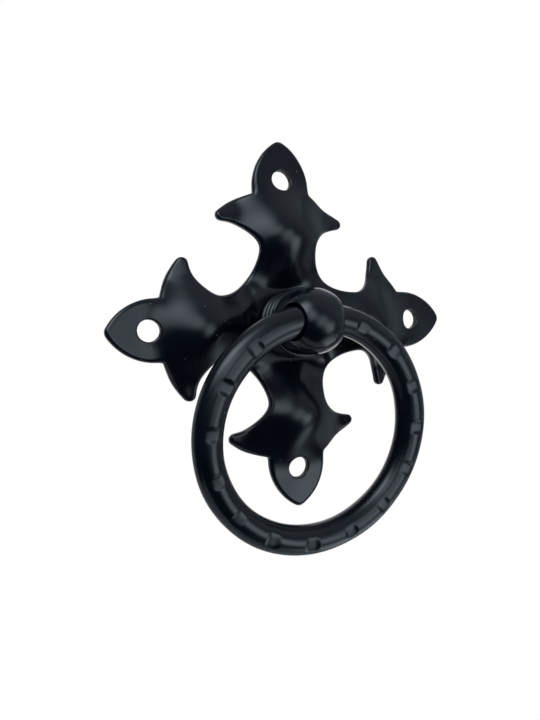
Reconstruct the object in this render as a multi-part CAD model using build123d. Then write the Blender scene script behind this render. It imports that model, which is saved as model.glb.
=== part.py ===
from build123d import *
import math
import os

# Drop pull: a pressed plate with four fleur-de-lys arms, a sprung swivel post and a hanging ring.
# Everything is drawn on the bench, the plate face up: X right, Y up the door, Z out of the door.
# The last step turns it upright, so that the door is the plane Y = 0 and the front looks to -Y.

# Plate, plan view. One arm runs along +X; "along" is measured from the centre, "side" across the arm.
tip_reach = 51.0
tip_nose_radius = 2.2
ogive_half_width = 8.4
ogive_base_along = 37.8
notch_along = 36.4
notch_side = 8.5
barb_nose_along = 29.6
barb_nose_side = 17.6
barb_nose_radius = 1.5
barb_bow_height = 0.10
barb_heel_along = 25.0
barb_heel_side = 11.0
barb_root_along = 20.6
bay_centre = 21.0
bay_radius = 12.6

# Plate, section
sheet = 2.2
edge_radius = 0.35
door_gap = 2.4

# Bosses. Rows of patch heights run from the hub to the tip, as shares of the boss height. Each row has
# its height on the arm's middle line, and what it adds at one unit to the side: one share grows with
# the square of the distance from the middle line, one with its fourth power.
boss_start = 9.8
boss_end = 37.0
boss_height = 7.0
boss_side_unit = 10.0
boss_crest = [0, 0, 1.03, 1.07, 0.49, 2.18, 0, 0]
boss_fall = [0, 0, -1.13, -1.22, 1.82, -3.71, 0, 0]
boss_curl = [0, 0, 0, 0, -0.31, 0.762, 0, 0]
boss_patch_side = 19.5

# Screw holes
screw_circle_diameter = 80.0
screw_hole_diameter = 5.8
hole_rim_chamfer = 0.3

# Ring post
shank_diameter = 8.0
shank_clearance = 0.06
barrel_radius = 8.7
shoulder_height = 13.6
dome_centre_height = 18.9
hinge_height = 20.8
shoulder_edge_radius = 0.6
tail_radius = 6.2
tail_thickness = 1.5
tail_clearance = 0.05

# Ring
bar_diameter = 8.0
ring_diameter = 60.0
ring_lean = 9.4
bore_clearance = 0.12
nick_pitch = 23.0
nick_count = 14
nick_depth = 0.5
nick_radius = 4.0

# Spring
wire_diameter = 1.9
spring_diameter = 17.2
spring_turns = 3.5
spring_end_grind = 0.5

arms = 4


def arm_outline():
    """Plan of one arm, from the centre out to its tip and bounded by the two diagonals."""
    nose_along = tip_reach - tip_nose_radius
    reach = nose_along - ogive_base_along
    rise = ogive_half_width**2 + reach**2 - tip_nose_radius**2
    ogive_radius = rise / (2 * (ogive_half_width - tip_nose_radius))
    ogive_drop = ogive_radius - ogive_half_width
    touch = math.atan2(ogive_drop, reach)
    nose_touch = (
        nose_along + tip_nose_radius * math.cos(touch),
        tip_nose_radius * math.sin(touch),
    )
    middle = (touch + math.pi / 2) / 2
    ogive_middle = (
        ogive_base_along + ogive_radius * math.cos(middle),
        ogive_radius * math.sin(middle) - ogive_drop,
    )
    ogive_base = (ogive_base_along, ogive_half_width)
    notch = (notch_along, notch_side)

    outer_dx = notch[0] - barb_nose_along
    outer_dy = notch[1] - barb_nose_side
    outer_angle = math.atan2(outer_dy, outer_dx) + math.pi / 2
    barb_outer = (
        barb_nose_along + barb_nose_radius * math.cos(outer_angle),
        barb_nose_side + barb_nose_radius * math.sin(outer_angle),
    )
    barb_tip = (
        barb_nose_along - barb_nose_radius * 0.25,
        barb_nose_side + barb_nose_radius * 0.968,
    )
    barb_inner = (barb_nose_along - barb_nose_radius, barb_nose_side)
    outer_length = math.hypot(barb_outer[0] - notch[0], barb_outer[1] - notch[1])
    outer_middle = (
        (barb_outer[0] + notch[0]) / 2 + barb_bow_height * (barb_outer[1] - notch[1]) / outer_length,
        (barb_outer[1] + notch[1]) / 2 + barb_bow_height * (notch[0] - barb_outer[0]) / outer_length,
    )
    barb_heel = (barb_heel_along, barb_heel_side)

    root_fall = math.sqrt(bay_radius**2 - (barb_root_along - bay_centre) ** 2)
    barb_root = (barb_root_along, bay_centre - root_fall)
    root_slope = (barb_root_along - bay_centre) / root_fall
    diagonal = bay_centre - bay_radius / math.sqrt(2)
    bay_middle_angle = math.radians(-112.5)
    bay_middle = (
        bay_centre + bay_radius * math.cos(bay_middle_angle),
        bay_centre + bay_radius * math.sin(bay_middle_angle),
    )
    half = [
        ThreePointArc((tip_reach, 0), (
            nose_along + tip_nose_radius * math.cos(touch / 2),
            tip_nose_radius * math.sin(touch / 2),
        ), nose_touch),
        ThreePointArc(nose_touch, ogive_middle, ogive_base),
        Line(ogive_base, notch),
        ThreePointArc(notch, outer_middle, barb_outer),
        ThreePointArc(barb_outer, barb_tip, barb_inner),
        Spline(barb_inner, barb_heel, barb_root, tangents=[(-0.1, -1), (-1, -root_slope)]),
        ThreePointArc(barb_root, bay_middle, (diagonal, diagonal)),
        Line((diagonal, diagonal), (0, 0)),
    ]
    upper = make_face(Curve() + half + [Line((0, 0), (tip_reach, 0))])
    return upper + mirror(upper, about=Plane.XZ)


def boss_surface():
    """Back of one arm's domed boss: a Bezier patch that runs out level into the hub and the tip."""
    side = boss_patch_side / boss_side_unit
    net = []
    for i, (crest, fall, curl) in enumerate(zip(boss_crest, boss_fall, boss_curl)):
        x = boss_start + (boss_end - boss_start) * i / (len(boss_crest) - 1)
        square = fall * side**2
        fourth = curl * side**4
        edge = crest + square + fourth
        flank = crest - fourth
        middle = crest - square / 3 + fourth
        row = []
        for j, share in enumerate([edge, flank, middle, flank, edge]):
            y = boss_patch_side * (j / 2 - 1)
            row.append(Vector(x, y, door_gap + boss_height * share))
        net.append(row)
    return Face.make_bezier_surface(net)


def front_rim(plate):
    """Edges where the front of the plate meets its cut walls."""
    seen = [edge for face in plate.faces() if face.normal_at().Z > 0.3 for edge in face.edges()]
    return [edge for edge in seen if sum(edge.is_same(other) for other in seen) == 1]


def make_backplate():
    arm = arm_outline()
    hub_side = 2 * boss_start
    boss_length = boss_end - boss_start
    tip_length = tip_reach - boss_end + 1
    patch_width = 2 * boss_patch_side

    boss_blank = Pos((boss_start + boss_end) / 2, 0) * Rectangle(boss_length, patch_width)
    tip_blank = Pos(boss_end + tip_length / 2, 0) * Rectangle(tip_length, patch_width)
    column = extrude(Pos(0, 0, -boss_height) * (arm & boss_blank), 4 * boss_height)
    boss = extrude(boss_surface(), sheet, dir=(0, 0, 1)) & column
    tip = extrude(Pos(0, 0, door_gap) * (arm & tip_blank), sheet)
    hub = extrude(Pos(0, 0, door_gap) * (arm & Rectangle(hub_side, hub_side)), sheet)
    one_arm = boss + tip + hub
    plate = Part() + [Rot(Z=360 / arms * i) * one_arm for i in range(arms)]
    plate = fillet(front_rim(plate), edge_radius)

    through = 4 * (sheet + door_gap)
    hole_radius = screw_hole_diameter / 2
    hole_mouth = Cone(hole_radius, hole_radius + 2 * hole_rim_chamfer, 2 * hole_rim_chamfer)
    screw_hole = Cylinder(hole_radius, through) + Pos(0, 0, door_gap + sheet) * hole_mouth
    plate -= [place * screw_hole for place in PolarLocations(screw_circle_diameter / 2, arms)]
    return plate - Cylinder(shank_diameter / 2 + shank_clearance, through)


def ring_offset():
    """Half the rise of the bar's bend inside the barrel, so that the bar sits centred in its bore."""
    mean = ring_diameter / 2
    return (mean - math.sqrt(mean**2 - barrel_radius**2)) / 2


def make_ring_post():
    tail_top = door_gap - tail_clearance
    dome_top = dome_centre_height + barrel_radius
    shank = shank_diameter / 2
    shoulder_rim = (barrel_radius - shoulder_edge_radius, shoulder_height)
    dome_middle = (
        barrel_radius * math.cos(math.pi / 4),
        dome_centre_height + barrel_radius * math.sin(math.pi / 4),
    )
    tail_base = tail_top - tail_thickness
    profile = Curve() + [
        Line((0, tail_base), (shank, tail_base)),
        ThreePointArc(
            (shank, tail_base),
            (tail_radius - 0.45 * (tail_radius - shank), tail_base + 0.25 * tail_thickness),
            (tail_radius, tail_top),
        ),
        Line((tail_radius, tail_top), (shank, tail_top)),
        Line((shank, tail_top), (shank, shoulder_height)),
        Line((shank, shoulder_height), shoulder_rim),
        ThreePointArc(
            shoulder_rim,
            (
                shoulder_rim[0] + shoulder_edge_radius * math.sin(math.pi / 4),
                shoulder_height + shoulder_edge_radius * (1 - math.cos(math.pi / 4)),
            ),
            (barrel_radius, shoulder_height + shoulder_edge_radius),
        ),
        Line((barrel_radius, shoulder_height + shoulder_edge_radius), (barrel_radius, dome_centre_height)),
        ThreePointArc((barrel_radius, dome_centre_height), dome_middle, (0, dome_top)),
        Line((0, dome_top), (0, tail_base)),
    ]
    post = revolve(Plane.XZ * make_face(profile), Axis.Z)
    bore_radius = bar_diameter / 2 + ring_offset() + bore_clearance
    bore = Pos(0, 0, hinge_height) * Rot(Y=90) * Cylinder(bore_radius, 4 * barrel_radius)
    return post - bore


def make_pull_ring():
    mean = ring_diameter / 2
    bar = bar_diameter / 2
    ring = Torus(mean, bar)
    nick = Pos(mean, 0, bar - nick_depth + nick_radius) * Rot(Y=90) * Cylinder(nick_radius, 2 * bar_diameter)
    ring -= [Rot(Z=90 - nick_pitch * (i + 1)) * nick for i in range(nick_count)]
    hung = Pos(0, ring_offset() - mean, 0) * ring
    return Pos(0, 0, hinge_height) * Rot(X=ring_lean) * hung


def make_spring():
    seat = door_gap + sheet
    length = shoulder_height - seat
    grind = spring_end_grind
    rise = length + 2 * grind - wire_diameter
    path = Helix(rise / spring_turns, rise, spring_diameter / 2)
    start = Plane(path @ 0, z_dir=path % 0)
    wire = sweep(start * Circle(wire_diameter / 2), path, is_frenet=True)
    wire = Pos(0, 0, seat + wire_diameter / 2 - grind) * wire
    slab = Pos(0, 0, seat + length / 2) * Box(2 * spring_diameter, 2 * spring_diameter, length)
    return wire & slab


upright = Rot(X=90)
pieces = {
    "backplate": make_backplate(),
    "ring_post": make_ring_post(),
    "pull_ring": make_pull_ring(),
    "spring": make_spring(),
}

os.makedirs("parts", exist_ok=True)
for node, shape in pieces.items():
    export_step(upright * shape, f"parts/{node}.step")
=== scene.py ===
"""A black ring pull with a pressed fleur-de-lys plate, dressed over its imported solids."""

import logging
import math
from dataclasses import dataclass, field
from enum import Enum
from typing import Any, Mapping, Optional, Sequence, Union

import bmesh
import bpy
import numpy as np
from mathutils import Euler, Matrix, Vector


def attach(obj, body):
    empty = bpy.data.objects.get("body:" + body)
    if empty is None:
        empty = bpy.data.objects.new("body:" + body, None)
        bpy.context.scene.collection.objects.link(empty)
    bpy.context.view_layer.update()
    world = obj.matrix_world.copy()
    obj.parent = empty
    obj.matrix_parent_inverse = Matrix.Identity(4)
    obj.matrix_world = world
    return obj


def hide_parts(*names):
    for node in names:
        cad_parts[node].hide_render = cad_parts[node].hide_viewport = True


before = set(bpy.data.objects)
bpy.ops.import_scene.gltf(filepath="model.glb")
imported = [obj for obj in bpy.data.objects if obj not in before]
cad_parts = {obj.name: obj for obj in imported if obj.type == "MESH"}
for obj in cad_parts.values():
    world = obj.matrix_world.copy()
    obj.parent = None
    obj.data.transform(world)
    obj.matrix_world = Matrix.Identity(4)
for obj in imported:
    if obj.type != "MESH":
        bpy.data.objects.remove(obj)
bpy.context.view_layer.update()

LOG = logging.getLogger("drop_pull")
MM = 0.001

Array = np.ndarray
Value = Union["Term", float]


class Body(Enum):
    """The bodies that the pieces ride on."""

    PLATE = "plate"
    POST = "post"
    RING = "ring"


class Side(Enum):
    """The two faces of the pressed sheet."""

    FRONT = 1
    BACK = 0


# Shader maths


class Term:
    """One output socket of a shader, with arithmetic that adds Math nodes."""

    def __init__(self, bench: "ShaderBench", socket: bpy.types.NodeSocket) -> None:
        """Keeps the bench that the nodes go to and the socket itself."""
        self.bench = bench
        self.socket = socket

    def __add__(self, other: Value) -> "Term":
        """Sum of the two values."""
        return self.bench.math("ADD", self, other)

    def __sub__(self, other: Value) -> "Term":
        """This value less the other."""
        return self.bench.math("SUBTRACT", self, other)

    def __rsub__(self, other: Value) -> "Term":
        """The other value less this one."""
        return self.bench.math("SUBTRACT", other, self)

    def __mul__(self, other: Value) -> "Term":
        """Product of the two values."""
        return self.bench.math("MULTIPLY", self, other)

    def __pow__(self, other: Value) -> "Term":
        """This value raised to the other."""
        return self.bench.math("POWER", self, other)

    def __rpow__(self, other: Value) -> "Term":
        """The other raised to this value."""
        return self.bench.math("POWER", other, self)

    def __abs__(self) -> "Term":
        """Size of the value without its sign."""
        return self.bench.math("ABSOLUTE", self, 0.0)

    __radd__ = __add__
    __rmul__ = __mul__

    def least(self, other: Value) -> "Term":
        """Smaller of the two values."""
        return self.bench.math("MINIMUM", self, other)

    def most(self, other: Value) -> "Term":
        """Larger of the two values."""
        return self.bench.math("MAXIMUM", self, other)

    def ramp(self, low: float, high: float) -> "Term":
        """Goes smoothly from 0 at low to 1 at high, and stays there.

        Args:
            low: Value that gives 0.
            high: Value that gives 1; it may lie below low.

        Returns:
            The eased value.
        """
        return self.bench.node(
            "ShaderNodeMapRange",
            {"interpolation_type": "SMOOTHSTEP"},
            {"Value": self, "From Min": low, "From Max": high},
        )["Result"]


class ShaderBench:
    """The node tree of one material or world, and the ways to add to it."""

    def __init__(self, tree: bpy.types.NodeTree) -> None:
        """Starts from an empty tree."""
        self.tree = tree
        tree.nodes.clear()

    def node(
        self,
        kind: str,
        settings: Optional[Mapping[str, Any]] = None,
        sockets: Optional[Mapping[Union[str, int], Any]] = None,
    ) -> "Outputs":
        """Adds a node, sets it up and feeds it.

        Args:
            kind: Node type.
            settings: Properties of the node, set first.
            sockets: Values or terms for its inputs, by name or place.

        Returns:
            The node's outputs.
        """
        made = self.tree.nodes.new(kind)
        for key, setting in (settings or {}).items():
            setattr(made, key, setting)
        for key, value in (sockets or {}).items():
            if isinstance(value, Term):
                self.tree.links.new(value.socket, made.inputs[key])
            else:
                made.inputs[key].default_value = value
        return Outputs(self, made)

    def math(self, operation: str, first: Value, second: Value) -> Term:
        """Adds one Math node.

        Args:
            operation: Name of the operation.
            first: First value or term.
            second: Second value or term.

        Returns:
            The result.
        """
        return self.node("ShaderNodeMath", {"operation": operation}, {0: first, 1: second})["Value"]

    def blend(self, share: Value, low: Any, high: Any) -> Term:
        """Mixes two colours.

        Args:
            share: Part of the second colour.
            low: First colour, a term or four numbers.
            high: Second colour, a term or four numbers.

        Returns:
            The mixed colour.
        """
        mixed = self.node("ShaderNodeMix", {"data_type": "RGBA"}, {0: share, 6: low, 7: high})
        return mixed[2]


class Outputs:
    """The outputs of a node, read as terms by name or by place."""

    def __init__(self, bench: ShaderBench, made: bpy.types.Node) -> None:
        """Keeps the bench and the node."""
        self.bench = bench
        self.made = made

    def __getitem__(self, key: Union[str, int]) -> Term:
        """The output of that name or place."""
        return Term(self.bench, self.made.outputs[key])


# Finishes


@dataclass(frozen=True)
class BlackPaint:
    """Satin black paint over steel, with a faint orange peel, drifting gloss and a little dust.

    Lengths are in metres. Bare holes show the brown of worn paint on the walls of the screw holes.
    """

    name: str
    colour: tuple[float, float, float, float] = (0.0010, 0.0022, 0.0062, 1.0)
    thin_colour: tuple[float, float, float, float] = (0.0018, 0.0035, 0.0085, 1.0)
    dust_colour: tuple[float, float, float, float] = (0.22, 0.225, 0.23, 1.0)
    bare_colour: tuple[float, float, float, float] = (0.085, 0.046, 0.027, 1.0)
    gloss_low: float = 0.18
    gloss_high: float = 0.26
    peel_length: float = 0.0016
    peel_depth: float = 0.000012
    drift_length: float = 0.013
    dust_length: float = 0.0026
    hole_reach: Optional[float] = None
    hole_radius: float = 0.0029

    def bare_holes(self, bench: ShaderBench, place: Term) -> Term:
        """Mask of the screw holes' walls: near 1 within the radius about four points on the axes.

        The folded point (larger, smaller) of the sizes of x and z has its distance to (reach, 0) taken.

        Args:
            bench: The material's bench.
            place: Object coordinates.

        Returns:
            The mask.
        """
        axes = bench.node("ShaderNodeSeparateXYZ", None, {0: place})
        across = abs(axes["X"])
        up = abs(axes["Z"])
        along = across.most(up) - float(self.hole_reach or 0.0)
        side = across.least(up)
        distance = (along * along + side * side) ** 0.5
        return distance.ramp(self.hole_radius + 0.00012, self.hole_radius - 0.00002)

    def make(self) -> bpy.types.Material:
        """Builds the material on Object coordinates.

        Returns:
            The material.
        """
        material = bpy.data.materials.new(self.name)
        material.use_nodes = True
        bench = ShaderBench(material.node_tree)
        place = bench.node("ShaderNodeTexCoord")["Object"]
        drift = bench.node(
            "ShaderNodeTexNoise", None,
            {"Vector": place, "Scale": 1 / self.drift_length, "Detail": 3.0, "Roughness": 0.55},
        )["Fac"].ramp(0.3, 0.7)
        peel = bench.node(
            "ShaderNodeTexNoise", None,
            {"Vector": place, "Scale": 1 / self.peel_length, "Detail": 2.0, "Roughness": 0.5},
        )["Fac"]
        cells = bench.node(
            "ShaderNodeTexVoronoi", {"feature": "F1"},
            {"Vector": place, "Scale": 1 / self.dust_length, "Randomness": 1.0},
        )
        chosen = bench.node("ShaderNodeSeparateColor", None, {0: cells["Color"]})
        dust = cells["Distance"].ramp(0.075, 0.03) * chosen[0].ramp(0.66, 0.70)
        colour = bench.blend(drift * 0.8, self.colour, self.thin_colour)
        colour = bench.blend(dust * 0.75, colour, self.dust_colour)
        rough = self.gloss_low + drift * (self.gloss_high - self.gloss_low) + dust * 0.3
        if self.hole_reach is not None:
            bare = self.bare_holes(bench, place)
            colour = bench.blend(bare * drift.ramp(0.2, 0.8) * 0.9, colour, self.bare_colour)
            rough = rough + bare * 0.25
        bump = bench.node(
            "ShaderNodeBump", None,
            {"Strength": 0.6, "Distance": self.peel_depth, "Height": peel},
        )["Normal"]
        shader = bench.node(
            "ShaderNodeBsdfPrincipled", None,
            {"Base Color": colour, "Roughness": rough, "Normal": bump, "IOR": 1.5},
        )["BSDF"]
        bench.node("ShaderNodeOutputMaterial", None, {"Surface": shader})
        return material


# Meshes


class Skin:
    """Grids of bench points, in millimetres, gathered into one closed mesh in the row frame."""

    def __init__(self) -> None:
        """Starts with no grids."""
        self.points: list[Array] = []
        self.quads: list[Array] = []
        self.count = 0

    def add(self, grid: Array, around: bool = False) -> None:
        """Adds a grid of points and the quads between neighbours.

        Args:
            grid: Points, of shape (rows, columns, 3), in millimetres on the bench.
            around: Whether the last row joins the first.
        """
        rows, columns = grid.shape[:2]
        index = np.arange(rows * columns).reshape(rows, columns) + self.count
        if around:
            index = np.concatenate([index, index[:1]])
        corners = [index[:-1, :-1], index[1:, :-1], index[1:, 1:], index[:-1, 1:]]
        self.quads.append(np.stack(corners, -1).reshape(-1, 4))
        self.points.append(grid.reshape(-1, 3))
        self.count += rows * columns

    def finish(self, name: str, sharp: float = 50.0) -> bpy.types.Object:
        """Turns the bench upright, joins the seams and poles and points the faces outwards.

        A bench point (x, y, z) becomes (x, -z, y) in the row frame.

        Args:
            name: Name of the piece.
            sharp: Angle, in degrees, above which an edge is shaded sharp.

        Returns:
            The piece, at the origin.
        """
        bench = np.concatenate(self.points)
        upright = np.stack([bench[:, 0], -bench[:, 2], bench[:, 1]], 1) * MM
        mesh = bpy.data.meshes.new(name)
        mesh.from_pydata(upright.tolist(), [], np.concatenate(self.quads).tolist())
        work = bmesh.new()
        work.from_mesh(mesh)
        bmesh.ops.remove_doubles(work, verts=work.verts, dist=2e-6)
        bmesh.ops.dissolve_degenerate(work, edges=work.edges, dist=1e-7)
        bmesh.ops.recalc_face_normals(work, faces=work.faces)
        work.to_mesh(mesh)
        work.free()
        mesh.shade_smooth()
        mesh.set_sharp_from_angle(angle=math.radians(sharp))
        piece = bpy.data.objects.new(name, mesh)
        bpy.context.scene.collection.objects.link(piece)
        return piece


def arc(centre: Sequence[float], radius: float, start: float, end: float, count: int) -> Array:
    """Points on a circle about a centre, at evenly spaced angles.

    Args:
        centre: Centre of the circle.
        radius: Its radius.
        start: First angle, in radians.
        end: Last angle.
        count: Number of points.

    Returns:
        Points of shape (count, 2).
    """
    angle = np.linspace(start, end, count)
    return np.stack([centre[0] + radius * np.cos(angle), centre[1] + radius * np.sin(angle)], 1)


def lift(plan: Array, height: Array) -> Array:
    """Joins plan points and their heights.

    Args:
        plan: Points of shape (..., 2).
        height: Heights, of a shape that fits.

    Returns:
        Points of shape (..., 3).
    """
    level = np.broadcast_to(height, plan.shape[:-1])
    return np.concatenate([plan, level[..., None]], -1)


def ride_for(piece: bpy.types.Object, body: Body, node: str) -> None:
    """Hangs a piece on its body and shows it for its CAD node.

    Args:
        piece: The new piece.
        body: Body that it moves with.
        node: CAD node that it stands for.
    """
    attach(piece, body.value)
    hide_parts(node)


# The plate


@dataclass
class ArmOutline:
    """Half the outline of one arm, in millimetres: along the arm from the centre, and to its side."""

    tip_reach: float = 51.0
    tip_nose_radius: float = 2.2
    ogive_half_width: float = 8.4
    ogive_base_along: float = 37.8
    notch: tuple[float, float] = (36.4, 8.5)
    barb_nose: tuple[float, float] = (29.6, 17.5)
    barb_nose_radius: float = 1.7
    barb_bow_height: float = 0.45
    barb_heel: tuple[float, float] = (25.0, 11.0)
    barb_root_along: float = 20.6
    bay_centre: float = 21.0
    bay_radius: float = 12.6
    blend: float = 0.40
    step: float = 0.05
    samples: int = 150

    def tip(self) -> Array:
        """Nose and ogive of the tip: a small arc that runs on into a large one.

        Returns:
            Points from the tip to the notch.
        """
        nose_along = self.tip_reach - self.tip_nose_radius
        reach = nose_along - self.ogive_base_along
        rise = self.ogive_half_width**2 + reach**2 - self.tip_nose_radius**2
        radius = rise / (2 * (self.ogive_half_width - self.tip_nose_radius))
        drop = radius - self.ogive_half_width
        touch = math.atan2(drop, reach)
        nose = arc((nose_along, 0.0), self.tip_nose_radius, 0.0, touch, 40)
        ogive = arc((self.ogive_base_along, -drop), radius, touch, math.pi / 2, 200)
        return np.concatenate([nose, ogive, [self.notch]])

    def barb(self) -> Array:
        """The barb: a bowed outer edge, a round nose, and a hollow inner edge down to its root.

        The outer edge is a chord with a parabolic bow, and the nose starts where the bow runs into it.
        The inner edge is a cubic through nose, heel and root, whose slope at the heel makes its bend run
        on unbroken.

        Returns:
            Points from the notch to the root.
        """
        notch = np.array(self.notch)
        nose = np.array(self.barb_nose)
        straight = notch - nose
        angle = math.atan2(straight[1], straight[0]) + math.pi / 2
        angle += math.atan(4 * self.barb_bow_height / np.hypot(*straight))
        top = arc(self.barb_nose, self.barb_nose_radius, angle, math.pi, 60)
        chord = top[0] - notch
        away = np.array([chord[1], -chord[0]]) / np.hypot(*chord)
        share = np.linspace(0, 1, 120)[:, None]
        outer = notch + share * chord + 4 * share * (1 - share) * self.barb_bow_height * away
        fall = math.sqrt(self.bay_radius**2 - (self.barb_root_along - self.bay_centre) ** 2)
        root = np.array([self.barb_root_along, self.bay_centre - fall])
        knots = np.stack([top[-1], np.array(self.barb_heel), root])
        start = np.array([-0.1, -1.0])
        end = np.array([-1.0, -(self.barb_root_along - self.bay_centre) / fall])
        first, last = np.hypot(*(knots[1] - knots[0])), np.hypot(*(knots[2] - knots[1]))
        start, end = start / np.hypot(*start), end / np.hypot(*end)
        pull = 3 * (last * (knots[1] - knots[0]) / first + first * (knots[2] - knots[1]) / last)
        middle = (pull - last * start - first * end) / (2 * (first + last))
        upper = cubic(knots[0], knots[1], start * first, middle * first, 120)
        lower = cubic(knots[1], knots[2], middle * last, end * last, 120)
        return np.concatenate([outer, top, upper, lower])

    def bay(self) -> Array:
        """The round bay between two arms, from the barb's root to the diagonal.

        Returns:
            Points on its circle.
        """
        centre = (self.bay_centre, self.bay_centre)
        across = self.barb_root_along - self.bay_centre
        fall = math.sqrt(self.bay_radius**2 - across**2)
        return arc(centre, self.bay_radius, math.atan2(-fall, across), -0.75 * math.pi, 160)

    def sampled(self) -> tuple[Array, Array]:
        """The whole half outline, its corners eased, sampled closer where it bends more.

        The outline is mirrored over both ends, averaged along its length with a bell-shaped weight, and
        read at equal steps of length plus a share of its turning.

        Returns:
            Points of shape (samples, 2) and the outward normals there.
        """
        rough = np.concatenate([self.tip(), self.barb(), self.bay()])
        keep = np.concatenate([[True], np.hypot(*np.diff(rough, axis=0).T) > 1e-6])
        rough = rough[keep]
        run = np.concatenate([[0.0], np.cumsum(np.hypot(*np.diff(rough, axis=0).T))])
        count = int(run[-1] / self.step) + 1
        even = np.linspace(0, run[-1], count)
        path = np.stack([np.interp(even, run, rough[:, 0]), np.interp(even, run, rough[:, 1])], 1)
        pad = int(4 * self.blend / self.step)
        before = path[pad:0:-1] * np.array([1.0, -1.0])
        after = path[-2:-pad - 2:-1, ::-1]
        wide = np.concatenate([before, path, after])
        bell = np.exp(-0.5 * (np.arange(-pad, pad + 1) * self.step / self.blend) ** 2)
        bell /= bell.sum()
        eased = np.stack([np.convolve(wide[:, i], bell, "valid") for i in (0, 1)], 1)
        eased[0, 1] = 0.0
        eased[-1] = eased[-1].mean()
        slope = np.gradient(eased, axis=0)
        slope /= np.hypot(slope[:, 0], slope[:, 1])[:, None]
        turn = np.abs(np.gradient(np.unwrap(np.arctan2(slope[:, 1], slope[:, 0]))))
        weight = np.cumsum(self.step + 1.1 * np.minimum(turn, 0.2))
        weight = (weight - weight[0]) / (weight[-1] - weight[0])
        place = np.interp(np.linspace(0, 1, self.samples), weight, np.arange(count))
        read = [np.interp(place, np.arange(count), column) for column in (*eased.T, *slope.T)]
        points = np.stack(read[:2], 1)
        normals = np.stack([read[3], -read[2]], 1)
        normals /= np.hypot(normals[:, 0], normals[:, 1])[:, None]
        normals[0] = (1.0, 0.0)
        normals[-1] = (math.sqrt(0.5), math.sqrt(0.5))
        return points, normals


def cubic(start: Array, end: Array, leave: Array, arrive: Array, count: int) -> Array:
    """Cubic between two points with given slopes at its ends.

    Args:
        start: First point.
        end: Last point.
        leave: Slope at the first point, per unit of the parameter.
        arrive: Slope at the last point.
        count: Number of points.

    Returns:
        Points of shape (count, 2).
    """
    t = np.linspace(0, 1, count)[:, None]
    keep = 2 * t**3 - 3 * t**2 + 1
    return keep * start + (1 - keep) * end + (t**3 - 2 * t**2 + t) * leave + (t**3 - t**2) * arrive


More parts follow.
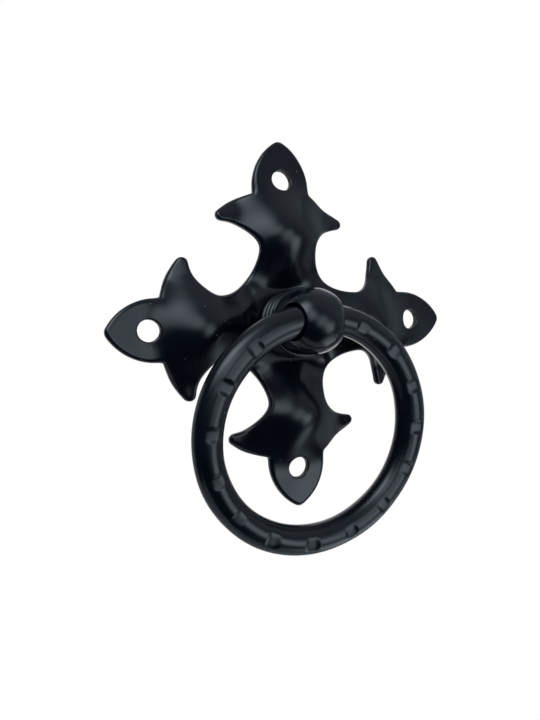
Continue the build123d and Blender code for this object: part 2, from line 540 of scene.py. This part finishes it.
@dataclass
class Backplate:
    """The pressed plate: four arms with domed bosses that run out into pierced tips, and a flat hub."""

    outline: ArmOutline = field(default_factory=ArmOutline)
    finish: BlackPaint = field(default_factory=lambda: BlackPaint("plate_paint", hole_reach=0.040))
    sheet: float = 2.2
    door_gap: float = 2.4
    boss_start: float = 9.8
    boss_end: float = 43.0
    boss_height: float = 7.0
    boss_side_unit: float = 10.0
    boss_side_limit: float = 12.0
    boss_side_ease: float = 3.0
    boss_crest: tuple[float, ...] = (0, 0, 1.54, -0.884, 3.524, -0.324, 1.197, 0, 0, 0)
    boss_fall: tuple[float, ...] = (0, 0, -2.609, -0.287, 0.021, -1.464, -1.174, 0, 0, 0)
    boss_curl: tuple[float, ...] = (0, 0, 0, 4.309, -6.031, 4.680, -1.391, 0, 0, 0)
    screw_circle_radius: float = 40.0
    screw_hole_radius: float = 2.9
    shank_hole_radius: float = 4.06
    front_round: float = 1.0
    hole_round: float = 0.35
    back_round: float = 0.3
    wave: float = 0.07
    wave_start: float = 12.0
    skew: float = 1.0
    skew_side: tuple[float, float] = (7.0, 16.0)
    skew_along: tuple[float, float] = (16.0, 24.0)
    arms: int = 4
    across: int = 16
    hub_columns: int = 21

    def relief(self, plan: Array) -> Array:
        """Height of the boss: rows of heights along the arm, joined by Bernstein weights.

        Each row is its height on the middle line, plus one share that grows with the square of the
        distance to the side and one that grows with its fourth power. Beyond a limit, out in the
        barbs, that distance is eased off with a tanh, so that they end level.

        Args:
            plan: Points of shape (..., 2), along and to the side.

        Returns:
            Heights above the flats.
        """
        u = np.clip((plan[..., :1] - self.boss_start) / (self.boss_end - self.boss_start), 0, 1)
        aside, ease = np.abs(plan[..., 1:]), self.boss_side_ease
        beyond = np.maximum(aside - self.boss_side_limit, 0)
        side = ((aside - beyond + ease * np.tanh(beyond / ease)) / self.boss_side_unit) ** 2
        rows = np.array([self.boss_crest, self.boss_fall, self.boss_curl])
        row = np.arange(rows.shape[1])
        last = rows.shape[1] - 1
        weight = np.array([math.comb(last, i) for i in row]) * u**row * (1 - u) ** (last - row)
        share = rows[0] + rows[1] * side + rows[2] * side**2
        return self.boss_height * (weight * share).sum(-1)

    def inset(self, side: Side) -> float:
        """Radius of the rounded edge on that face."""
        return self.front_round if side is Side.FRONT else self.back_round

    def rim_angles(self, points: Array) -> Array:
        """Angles round the screw hole that the first samples of the outline are joined to.

        From the tip to the hole's inner end, the angle grows with the length of outline passed.

        Args:
            points: Outline samples.

        Returns:
            Angles from 0 to pi, one for each sample of the tip.
        """
        inner_end = self.screw_circle_radius - self.screw_hole_radius - self.hole_round
        last = int(np.argmax(points[:, 0] < inner_end))
        steps = np.hypot(*np.diff(points[:last + 1], axis=0).T)
        run = np.concatenate([[0.0], np.cumsum(steps)])
        return math.pi * run / run[-1]

    def face(self, side: Side, points: Array, normals: Array, angles: Array) -> Array:
        """One face of half an arm: straight lines from the arm's middle, or the hole's rim, to the edge.

        Args:
            side: Front or back.
            points: Outline samples.
            normals: Outward normals there.
            angles: Angles round the screw hole.

        Returns:
            Points of shape (samples, across + 1, 3).
        """
        inset = self.inset(side)
        outer = points - inset * normals
        inner = outer * np.array([1.0, 0.0])
        rim = self.screw_hole_radius + self.hole_round
        inner[:len(angles), 0] = self.screw_circle_radius + rim * np.cos(angles)
        inner[:len(angles), 1] = rim * np.sin(angles)
        share = np.linspace(0, 1, self.across + 1)[None, :, None]
        plan = inner[:, None] + share * (outer - inner)[:, None]
        return lift(plan, self.door_gap + self.sheet * side.value + self.relief(plan))

    def edge(self, side: Side, points: Array, normals: Array, count: int) -> Array:
        """The rounded edge of one face: a quarter circle from the face to the cut wall.

        Args:
            side: Front or back.
            points: Outline samples.
            normals: Outward normals there.
            count: Number of steps round the quarter.

        Returns:
            Points of shape (samples, count + 1, 3), from the face to the wall.
        """
        radius = self.inset(side)
        turn = np.linspace(0, math.pi / 2, count + 1)[None, :]
        plan = points[:, None] - (radius * (1 - np.sin(turn)))[..., None] * normals[:, None]
        sense = 1 if side is Side.FRONT else -1
        drop = sense * radius * (1 - np.cos(turn))
        return lift(plan, self.door_gap + self.sheet * side.value + self.relief(plan) - drop)

    def hole(self, angles: Array) -> Array:
        """Half the wall of a screw hole: a rounded rim, a straight wall and a rounded rim.

        Args:
            angles: Angles round the hole.

        Returns:
            Points of shape (angles, 12, 3), from the front to the back.
        """
        turn = np.linspace(0, math.pi / 2, 6)
        rim = self.screw_hole_radius + self.hole_round * (1 - np.sin(turn))
        sink = self.hole_round * (1 - np.cos(turn))
        radius = np.concatenate([rim, rim[::-1]])[None, :]
        front, back = self.door_gap + self.sheet - sink, self.door_gap + sink
        height = np.concatenate([front, back[::-1]])[None, :]
        along = self.screw_circle_radius + radius * np.cos(angles)[:, None]
        plan = np.stack([along, radius * np.sin(angles)[:, None]], -1)
        return lift(plan, height + self.relief(plan))

    def hub(self, corner: float) -> Array:
        """One face of an eighth of the hub: radial lines from the shank's hole to the arm's last line.

        Args:
            corner: Place along the arm of the face's corner on the diagonal.

        Returns:
            Plan points of shape (across + 1, hub_columns, 2).
        """
        share = np.linspace(0, 1, self.across + 1)
        angle = np.arctan(share)
        inner = self.shank_hole_radius * np.stack([np.cos(angle), np.sin(angle)], 1)
        outer = corner * np.stack([np.ones_like(share), share], 1)
        out = np.linspace(0, 1, self.hub_columns)[None, :, None]
        return inner[:, None] + out * (outer - inner)[:, None]

    def half_arm(self) -> list[Array]:
        """All the grids of half an arm, in its own plan frame.

        Returns:
            Grids of points.
        """
        points, normals = self.outline.sampled()
        angles = self.rim_angles(points)
        front = self.face(Side.FRONT, points, normals, angles)
        back = self.face(Side.BACK, points, normals, angles)
        front_edge = self.edge(Side.FRONT, points, normals, 5)
        back_edge = self.edge(Side.BACK, points, normals, 3)
        skin = np.concatenate([front, front_edge[:, 1:], back_edge[:, ::-1], back[:, -2::-1]], 1)
        hub_front = self.hub(front[-1, 0, 0])
        hub_back = self.hub(back[-1, 0, 0])
        top = lift(hub_front, self.door_gap + self.sheet + self.relief(hub_front))
        foot = lift(hub_back, self.door_gap + self.relief(hub_back))
        bore = np.stack([top[:, 0], foot[:, 0]], 1)
        return [skin, self.hole(angles), top, foot, bore]

    def beaten(self, grid: Array) -> Array:
        """Adds the slight unevenness of hand work: a sum of long waves that grows out from the hub.

        The barbs of the upper and lower arms also slide along their arms, the left ones outwards and the
        right ones inwards; the slide grows smoothly with the distance from the arm's middle line.

        Args:
            grid: Bench points.

        Returns:
            The moved points.
        """
        x, y = grid[..., 0], grid[..., 1]
        wide, high = np.abs(x), np.abs(y)
        swell = np.sin(0.31 * x + 0.5) * np.cos(0.27 * y - 1.1)
        swell += 0.6 * np.sin(0.53 * x - 0.43 * y + 2.0)
        grow = np.clip(np.hypot(x, y) / self.wave_start - 1, 0, 1)
        reach = np.clip((wide - self.skew_side[0]) / (self.skew_side[1] - self.skew_side[0]), 0, 1)
        fade = np.clip((high - self.skew_along[0]) / (self.skew_along[1] - self.skew_along[0]), 0, 1)
        slide = reach**2 * (3 - 2 * reach) * fade * (high > wide)
        moved = grid.copy()
        moved[..., 2] += self.wave * swell * grow
        moved[..., 1] -= self.skew * np.sign(x * y) * slide
        return moved

    def build(self) -> bpy.types.Object:
        """Mirrors the half arm and turns it round the hub.

        Returns:
            The plate.
        """
        skin = Skin()
        halves = self.half_arm()
        for number in range(self.arms):
            turn = 2 * math.pi * number / self.arms
            cos, sin = math.cos(turn), math.sin(turn)
            for hand in (1.0, -1.0):
                for grid in halves:
                    along, aside = grid[..., 0], hand * grid[..., 1]
                    x, y = along * cos - aside * sin, along * sin + aside * cos
                    skin.add(self.beaten(np.stack([x, y, grid[..., 2]], -1)))
        piece = skin.finish("fleur_plate")
        piece.data.materials.append(self.finish.make())
        ride_for(piece, Body.PLATE, "backplate")
        return piece


# The moving pieces


@dataclass
class RingPost:
    """The turned post: a barrel with a domed head and a cross bore, a shank and a peened tail."""

    finish: BlackPaint = field(
        default_factory=lambda: BlackPaint("post_paint", gloss_low=0.19, gloss_high=0.27)
    )
    barrel_radius: float = 8.7
    shoulder_height: float = 13.6
    shoulder_round: float = 0.6
    dome_height: float = 18.9
    hinge_height: float = 20.8
    bore_radius: float = 4.765
    mouth_round: float = 0.35
    shank_radius: float = 4.0
    tail_radius: float = 6.2
    tail_top: float = 2.35
    tail_base: float = 0.85

    def half_width(self, y: Array, z: Array) -> Array:
        """Half the head's width at a point beside its axis: a cylinder below, a ball above."""
        over = np.maximum(z - self.dome_height, 0)
        return np.sqrt(np.maximum(self.barrel_radius**2 - y**2 - over**2, 0))

    def bearings(self) -> Array:
        """Directions round the bore: even over the head, and spaced under it to suit the shoulder's rim.

        Returns:
            Angles over one full turn, the corners of the shoulder among them.
        """
        fall = self.shoulder_height + self.shoulder_round - self.hinge_height
        corner = math.atan2(fall, self.barrel_radius)
        over = np.linspace(corner, math.pi - corner, 120, endpoint=False)
        sweep = np.linspace(-math.pi / 2, math.pi / 2, 65)[:-1]
        under = np.arctan2(fall, self.barrel_radius * np.sin(sweep))
        return np.concatenate([over, under])

    def reach(self, bearing: Array) -> Array:
        """Distance from the bore's axis to the head's outline, seen along the bore.

        The nearest of the barrel's side, the dome's circle and the shoulder's edge is taken.

        Args:
            bearing: Directions round the bore.

        Returns:
            Distances.
        """
        cos, sin = np.cos(bearing), np.sin(bearing)
        side = self.barrel_radius / np.maximum(np.abs(cos), 1e-9)
        over = self.hinge_height - self.dome_height
        dome = -over * sin + np.sqrt(self.barrel_radius**2 - (over * cos) ** 2)
        out = np.where(self.hinge_height + side * sin <= self.dome_height, side, dome)
        fall = self.hinge_height - self.shoulder_height - self.shoulder_round
        return np.minimum(out, np.where(sin < -1e-9, fall / np.maximum(-sin, 1e-9), out))

    def cheek(self) -> Array:
        """One half of the head, from the middle of the bore, round its mouth and out to the outline.

        Each line leaves the bore in one direction. Its distance grows as a sine, so that it closes
        evenly on the outline, and the mouth is a curve drawn towards the sharp corner.

        Returns:
            Points of shape (bearings, columns, 3), on the side where x is positive.
        """
        bearing = self.bearings()[:, None]
        ease = np.sin(np.linspace(0, math.pi / 2, 25))[None, :]
        start = self.bore_radius + self.mouth_round
        out = start + (self.reach(bearing) - start) * ease
        y, z = out * np.cos(bearing), self.hinge_height + out * np.sin(bearing)
        x = self.half_width(y, z)
        x[:, -1] = np.where(z[:, -1] > self.shoulder_height + self.shoulder_round + 1e-6, 0.0, x[:, -1])
        shell = np.stack([x, y, z], -1)
        lip_y = self.bore_radius * np.cos(bearing)
        lip_z = self.hinge_height + self.bore_radius * np.sin(bearing)
        lip_x = self.half_width(lip_y, lip_z)
        corner = np.stack([lip_x, lip_y, lip_z], -1)
        inside = np.stack([lip_x - self.mouth_round, lip_y, lip_z], -1)
        t = np.linspace(0, 1, 6)[None, :-1, None]
        lip = (1 - t) ** 2 * inside + 2 * t * (1 - t) * corner + t**2 * shell[:, :1]
        depth = np.linspace(0, 1, 6)[None, :-1, None]
        tube = inside * np.concatenate([depth, np.ones_like(depth), np.ones_like(depth)], -1)
        return np.concatenate([tube, lip, shell], 1)

    def stem(self) -> Array:
        """Everything under the head, turned about the post's axis to the same points as its rim.

        The profile goes round the shoulder's edge, in to the shank, down it, and round the tail.

        Returns:
            Points of shape (rim points, profile points, 3).
        """
        sweep = np.linspace(-math.pi / 2, 1.5 * math.pi, 129)[:-1]
        edge = arc(
            (self.barrel_radius - self.shoulder_round, self.shoulder_height + self.shoulder_round),
            self.shoulder_round, 0.0, -math.pi / 2, 6,
        )
        shank = np.array([[self.shank_radius, self.shoulder_height], [self.shank_radius, self.tail_top]])
        turn = np.linspace(0, math.pi / 2, 8)
        spread = self.tail_radius - self.shank_radius
        thick = self.tail_top - self.tail_base
        peen = np.stack([
            self.shank_radius + spread * np.cos(turn),
            self.tail_top - thick * np.sin(turn) ** 1.3,
        ], 1)
        profile = np.concatenate([edge, shank, peen, [[0.0, self.tail_base]]])
        plan = profile[None, :, 0, None] * np.stack([np.cos(sweep), np.sin(sweep)], 1)[:, None]
        return lift(plan, profile[None, :, 1])

    def build(self) -> bpy.types.Object:
        """Joins the two cheeks of the head and the stem.

        Returns:
            The post.
        """
        skin = Skin()
        cheek = self.cheek()
        skin.add(cheek, around=True)
        skin.add(cheek * np.array([-1.0, 1.0, 1.0]), around=True)
        skin.add(self.stem(), around=True)
        piece = skin.finish("swivel_post")
        piece.data.materials.append(self.finish.make())
        ride_for(piece, Body.POST, "ring_post")
        return piece


@dataclass
class PullRing:
    """The round-bar ring, hung through the post's bore, with nicks filed across its front."""

    finish: BlackPaint = field(
        default_factory=lambda: BlackPaint("ring_paint", gloss_low=0.20, gloss_high=0.28)
    )
    bar_radius: float = 4.0
    mean_radius: float = 30.0
    lean: float = 9.4
    hinge_height: float = 20.8
    barrel_radius: float = 8.7
    nick_pitch: float = 23.0
    nick_count: int = 14
    nick_depth: float = 0.38
    nick_half_length: float = 1.9
    nick_round: float = 0.34
    wave: float = 0.05
    around: int = 720
    section: int = 64

    def nicks(self, bearing: Array, out: Array) -> Array:
        """Front height left by the nicks: at each a trough across the bar, with a nearly flat floor.

        The floor rises with the fourth power of the distance from the nick's middle, along the bar.

        Args:
            bearing: Angle round the ring.
            out: Distance from the ring's centre.

        Returns:
            Height of the lowest trough at each point, or a large number where there is none.
        """
        number = np.arange(1, self.nick_count + 1)
        middle = np.radians(90 - self.nick_pitch * number)
        off = (bearing[..., None] - middle + math.pi) % (2 * math.pi) - math.pi
        length = out[..., None] * np.sin(off)
        climb = self.nick_depth * (length / self.nick_half_length) ** 4
        floor = self.bar_radius - self.nick_depth + climb
        return np.where(np.abs(off) < 1.0, floor, 1e3).min(-1)

    def build(self) -> bpy.types.Object:
        """A circle carried round a circle, cut down at the nicks, leant and hung on its hinge.

        The lower of bar and nick is taken, and where the two are close their mean is rounded off.

        Returns:
            The ring.
        """
        bearing = np.linspace(0, 2 * math.pi, self.around, endpoint=False)[:, None]
        turn = np.linspace(0, 2 * math.pi, self.section + 1)[None, :]
        uneven = np.sin(3 * bearing + 0.7) + 0.7 * np.sin(7 * bearing + 2.1) + 0.5 * np.sin(11 * bearing)
        bar = self.bar_radius + self.wave * uneven
        out = self.mean_radius + bar * np.sin(turn)
        rise = bar * np.cos(turn)
        floor = self.nicks(np.broadcast_to(bearing, out.shape), out)
        lean_in = np.clip(0.5 + (floor - rise) / (2 * self.nick_round), 0, 1)
        rise = lean_in * rise + (1 - lean_in) * floor - self.nick_round * lean_in * (1 - lean_in)
        sagitta = self.mean_radius - math.sqrt(self.mean_radius**2 - self.barrel_radius**2)
        x = out * np.cos(bearing)
        y = out * np.sin(bearing) + sagitta / 2 - self.mean_radius
        cos, sin = math.cos(math.radians(self.lean)), math.sin(math.radians(self.lean))
        skin = Skin()
        hung = np.stack([x, y * cos - rise * sin, self.hinge_height + y * sin + rise * cos], -1)
        skin.add(hung, around=True)
        piece = skin.finish("pull_loop", sharp=180.0)
        piece.data.materials.append(self.finish.make())
        ride_for(piece, Body.RING, "pull_ring")
        return piece


@dataclass
class Spring:
    """The coil spring between the plate and the post's shoulder, its ends ground flat."""

    finish: BlackPaint = field(default_factory=lambda: BlackPaint("spring_paint", gloss_low=0.22))
    wire_radius: float = 0.95
    mean_radius: float = 8.6
    turns: float = 3.5
    grind: float = 0.5
    seat: float = 4.6
    top: float = 13.6
    section: int = 20

    def build(self) -> bpy.types.Object:
        """A circle carried along a helix, square to it, with its heights cut off at seat and shoulder.

        Returns:
            The spring.
        """
        rise = self.top - self.seat + 2 * (self.grind - self.wire_radius)
        steps = int(self.turns * 72) + 1
        share = np.concatenate([[0.0], np.linspace(0, 1, steps), [1.0]])[:, None]
        angle = share * self.turns * 2 * math.pi
        turn = np.linspace(0, 2 * math.pi, self.section + 1)[None, :]
        thick = np.full_like(share, self.wire_radius)
        thick[[0, -1]] = 0.0
        length = 2 * math.pi * self.turns * self.mean_radius
        tilt = math.atan2(rise, length)
        out = self.mean_radius + thick * np.cos(turn)
        lean = thick * np.sin(turn) * math.sin(tilt)
        x = out * np.cos(angle) + lean * np.sin(angle)
        y = out * np.sin(angle) - lean * np.cos(angle)
        middle = self.seat + self.wire_radius - self.grind + share * rise
        z = np.clip(middle + thick * np.sin(turn) * math.cos(tilt), self.seat, self.top)
        skin = Skin()
        skin.add(np.stack([x, y, z], -1))
        piece = skin.finish("coil_spring")
        piece.data.materials.append(self.finish.make())
        ride_for(piece, Body.PLATE, "spring")
        return piece


# The studio


@dataclass(frozen=True)
class Lamp:
    """A soft oblong lamp that looks at the pull; radiance is what a mirror would show of it.

    Bearing is its angle to the right of straight out from the door, and height its angle above the
    level, both in degrees. Fall is how fast its cloth dims outwards, and rim what is left of the bell at
    its edge.
    """

    name: str
    bearing: float
    height: float
    distance: float
    size: tuple[float, float]
    radiance: float
    fall: float = 2.4
    rim: float = 0.09
    colour: tuple[float, float, float] = (0.86, 1.0, 1.11)

    def hang(self) -> None:
        """Adds the lamp; its power is radiance times pi times its area.

        Its cloth is brightest in the middle: a bell of the distance from there, brought to 0 at the rim.
        """
        data = bpy.data.lights.new(self.name, "AREA")
        data.use_nodes = True
        bench = ShaderBench(data.node_tree)
        cloth = bench.node("ShaderNodeNewGeometry")["Parametric"]
        spot = bench.node("ShaderNodeSeparateXYZ", None, {0: cloth})
        across, along = spot["X"] * 2 - 1, spot["Y"] * 2 - 1
        bell = (across * across + along * along) * -self.fall
        bell = (math.e ** bell).ramp(self.rim, 1.0)
        glow = bench.node("ShaderNodeEmission", None, {"Strength": bell})["Emission"]
        bench.node("ShaderNodeOutputLight", None, {"Surface": glow})
        data.shape = "RECTANGLE"
        data.size, data.size_y = self.size
        data.energy = self.radiance * math.pi * self.size[0] * self.size[1]
        data.color = self.colour
        bearing, height = math.radians(self.bearing), math.radians(self.height)
        level = math.cos(height)
        away = Vector((math.sin(bearing) * level, -math.cos(bearing) * level, math.sin(height)))
        lamp = bpy.data.objects.new(self.name, data)
        lamp.location = away * self.distance
        lamp.rotation_euler = (-away).to_track_quat("-Z", "Y").to_euler()
        lamp.visible_camera = False
        bpy.context.scene.collection.objects.link(lamp)


@dataclass
class Studio:
    """Camera, lamps, pale floor and white backdrop."""

    eye: tuple[float, float, float] = (-0.080675, -0.172837, -0.006439)
    aim: tuple[float, float, float] = (89.029, 3.479, -23.7765)
    lens: float = 33.3835
    film: float = 36.0
    room_low: float = 0.022
    room_high: float = 0.40
    low_tint: tuple[float, float, float] = (0.85, 1.0, 1.20)
    high_tint: tuple[float, float, float] = (0.88, 1.0, 1.09)
    brighter_side: tuple[float, float] = (0.60, 0.80)
    brighter_span: tuple[float, float] = (-0.10, 0.95)
    card_shades: tuple[float, float] = (0.76, 0.80)
    floor_height: float = -0.56
    floor_front: float = -0.12
    floor_share: float = 0.98
    sweep_radius: float = 0.75
    wall_height: float = 0.66
    wall_span: float = 31.0
    wing_span: float = 50.0
    lamps: tuple[Lamp, ...] = (
        Lamp("key_softbox", -63.0, 42.0, 0.70, (0.90, 0.90), 3.6),
        Lamp("left_card", -31.0, 19.0, 0.80, (0.88, 0.88), 1.75),
        Lamp("front_card", 2.0, -4.0, 0.90, (1.10, 1.10), 1.50),
        Lamp("right_card", 31.0, -22.0, 0.80, (0.84, 0.84), 2.05),
        Lamp("low_softbox", 74.0, -57.0, 0.60, (0.80, 0.80), 1.40),
    )

    def camera(self) -> None:
        """Sets the camera where the photograph was taken from."""
        data = bpy.data.cameras.new("photo_camera")
        data.sensor_fit = "VERTICAL"
        data.sensor_height = self.film
        data.lens = self.lens
        data.clip_start = 0.005
        camera = bpy.data.objects.new("photo_camera", data)
        camera.location = self.eye
        camera.rotation_euler = Euler([math.radians(angle) for angle in self.aim], "XYZ")
        bpy.context.scene.collection.objects.link(camera)
        bpy.context.scene.camera = camera

    def world(self) -> None:
        """A plain grey room, dim to the lower left and lighter to the upper right."""
        world = bpy.data.worlds.new("grey_room")
        world.use_nodes = True
        bench = ShaderBench(world.node_tree)
        view = bench.node("ShaderNodeTexCoord")["Generated"]
        axes = bench.node("ShaderNodeSeparateXYZ", None, {0: view})
        toward = axes["Z"] * self.brighter_side[1] + axes["X"] * self.brighter_side[0]
        rise = toward.ramp(*self.brighter_span)
        low = (*(self.room_low * tint for tint in self.low_tint), 1.0)
        high = (*(self.room_high * tint for tint in self.high_tint), 1.0)
        room = bench.node("ShaderNodeBackground", None, {"Color": bench.blend(rise, low, high)})
        bench.node("ShaderNodeOutputWorld", None, {"Surface": room[0]})
        bpy.context.scene.world = world

    def pale(self, name: str, glow: bool) -> bpy.types.Material:
        """A pale matt card, which may show plain white to the eye, to metal and to glass.

        Args:
            name: Name of the material.
            glow: Whether it is the white backdrop.

        Returns:
            The material.
        """
        material = bpy.data.materials.new(name)
        material.use_nodes = True
        bench = ShaderBench(material.node_tree)
        place = bench.node("ShaderNodeTexCoord")["Object"]
        fibre = bench.node("ShaderNodeTexNoise", None, {"Vector": place, "Scale": 60.0})["Fac"]
        dark, light = ((shade, shade, shade, 1.0) for shade in self.card_shades)
        card = bench.blend(fibre, dark, light)
        shown = bench.node("ShaderNodeBsdfDiffuse", None, {"Color": card})["BSDF"]
        if glow:
            ray = bench.node("ShaderNodeLightPath")
            seen = ray["Is Camera Ray"] + ray["Is Glossy Ray"] + ray["Is Transmission Ray"]
            white = bench.node(
                "ShaderNodeEmission", None, {"Color": (1.0, 1.0, 1.0, 1.0), "Strength": 1.0}
            )
            shown = bench.node(
                "ShaderNodeMixShader", None, {0: seen.least(1.0), 1: shown, 2: white["Emission"]}
            )["Shader"]
        bench.node("ShaderNodeOutputMaterial", None, {"Surface": shown})
        return material

    def sheet(self, name: str, grid: Array, glow: bool) -> None:
        """Adds a sheet of the stage from a grid of row points, in metres.

        Args:
            name: Name of the sheet.
            grid: Points of shape (rows, columns, 3).
            glow: Whether it is the white backdrop.
        """
        rows, columns = grid.shape[:2]
        index = np.arange(rows * columns).reshape(rows, columns)
        corners = [index[:-1, :-1], index[1:, :-1], index[1:, 1:], index[:-1, 1:]]
        mesh = bpy.data.meshes.new(name)
        mesh.from_pydata(grid.reshape(-1, 3).tolist(), [], np.stack(corners, -1).reshape(-1, 4).tolist())
        mesh.shade_smooth()
        mesh.materials.append(self.pale(name, glow))
        sheet = bpy.data.objects.new(name, mesh)
        bpy.context.scene.collection.objects.link(sheet)

    def stage(self) -> None:
        """A paper sweep: a floor, a white curved wall behind the pull and a pale wing at each side.

        The floor runs from a straight front edge back to the circle of the wall.
        """
        radius = self.sweep_radius
        across = radius * np.linspace(-self.floor_share, self.floor_share, 41)[:, None]
        share = np.linspace(0, 1, 17)[None, :]
        depth = np.sqrt(radius**2 - across**2) - self.floor_front
        floor = np.broadcast_arrays(across, self.floor_front + share * depth, self.floor_height)
        self.sheet("floor", np.stack(floor, -1), False)
        span, wing = self.wall_span, self.wing_span
        height = np.linspace(self.floor_height, self.wall_height, 9)[None, :]
        for name, start, end in (
            ("backdrop", -span, span),
            ("left_wing", span, span + wing),
            ("right_wing", -span - wing, -span),
        ):
            bearing = np.radians(90 + self.aim[2] + np.linspace(start, end, 41))[:, None]
            wall = np.broadcast_arrays(radius * np.cos(bearing), radius * np.sin(bearing), height)
            self.sheet(name, np.stack(wall, -1), name == "backdrop")

    def build(self) -> None:
        """Sets up everything around the pull."""
        self.camera()
        self.world()
        self.stage()
        for lamp in self.lamps:
            lamp.hang()
        bpy.context.scene.view_settings.view_transform = "Standard"


def main() -> None:
    """Builds the pull piece by piece, then the studio."""
    logging.basicConfig(level=logging.INFO, format="%(name)s: %(message)s")
    for assembly in (Backplate(), RingPost(), PullRing(), Spring()):
        piece = assembly.build()
        LOG.info("%s: %d faces", piece.name, len(piece.data.polygons))
    Studio().build()


if __name__ == "__main__":
    main()
